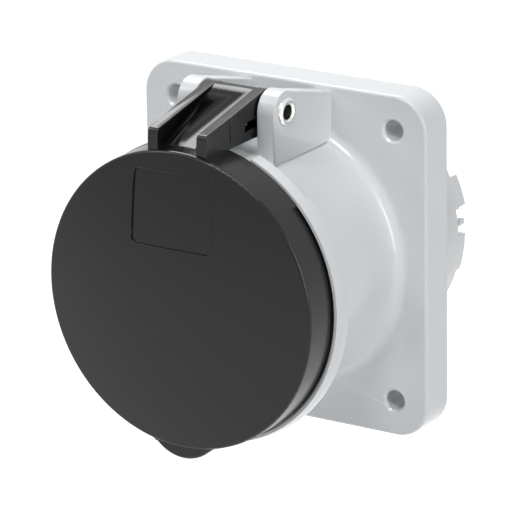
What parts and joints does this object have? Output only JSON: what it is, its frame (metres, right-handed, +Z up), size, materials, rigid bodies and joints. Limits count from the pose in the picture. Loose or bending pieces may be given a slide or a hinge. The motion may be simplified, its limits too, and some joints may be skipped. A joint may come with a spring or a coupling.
{
  "type": "industrial panel socket",
  "caption": "Industrial power socket for panel mounting, with a square flange, a round keyed collar, a sprung hinged lid with sealing ring, sleeve contacts and screw terminals behind.",
  "frame": {"origin": "middle of the panel face of the flange, on the collar's axis", "axes": "-Y out of the panel, the way a plug leaves; +Z up, towards the hinge; +X to the right of someone who faces the socket"},
  "size_m": [0.1, 0.1055, 0.1118],
  "materials": {
    "housing_grey": "satin moulded thermoplastic, light grey",
    "lid_black": "semi-gloss moulded thermoplastic, black",
    "carrier_black": "moulded insulating plastic, black, fine matt",
    "gasket_rubber": "soft black rubber",
    "bright_steel": "bright nickel-plated rolled steel",
    "spring_steel": "drawn stainless spring wire",
    "zinc_steel": "zinc-plated steel",
    "contact_brass": "turned brass"
  },
  "bodies": {
    "housing": {"housing": "housing_grey", "flange_gasket": "gasket_rubber", "hinge_pin": "bright_steel", "lid_spring": "spring_steel", "contact_carrier": "carrier_black", "carrier_base": "carrier_black", "terminal_block": "housing_grey", "body_seal": "gasket_rubber", "back_cover": "housing_grey", "carrier_screws": "zinc_steel", "contact_l1": "contact_brass", "contact_l2": "contact_brass", "contact_l3": "contact_brass", "contact_earth": "contact_brass", "contact_pilot": "contact_brass", "sleeve_ring_l1": "spring_steel", "sleeve_ring_l2": "spring_steel", "sleeve_ring_l3": "spring_steel", "sleeve_ring_earth": "spring_steel", "sleeve_ring_pilot": "spring_steel", "terminal_screws_l1": "zinc_steel", "terminal_screws_l2": "zinc_steel", "terminal_screws_l3": "zinc_steel", "terminal_screws_earth": "zinc_steel", "terminal_screw_pilot": "zinc_steel"},
    "lid": {"lid": "lid_black", "lid_seal": "gasket_rubber"}
  },
  "joints": [
    {"name": "lid_hinge", "type": "hinge", "parent": "housing", "child": "lid", "pos_m": [0, -0.0371, 0.0518], "axis": [-1, 0, 0], "range_deg": [0, 110], "stiffness_Nm_per_rad": 0.12, "springref_deg": -68.75, "deforming": ["lid_spring"]}
  ]
}
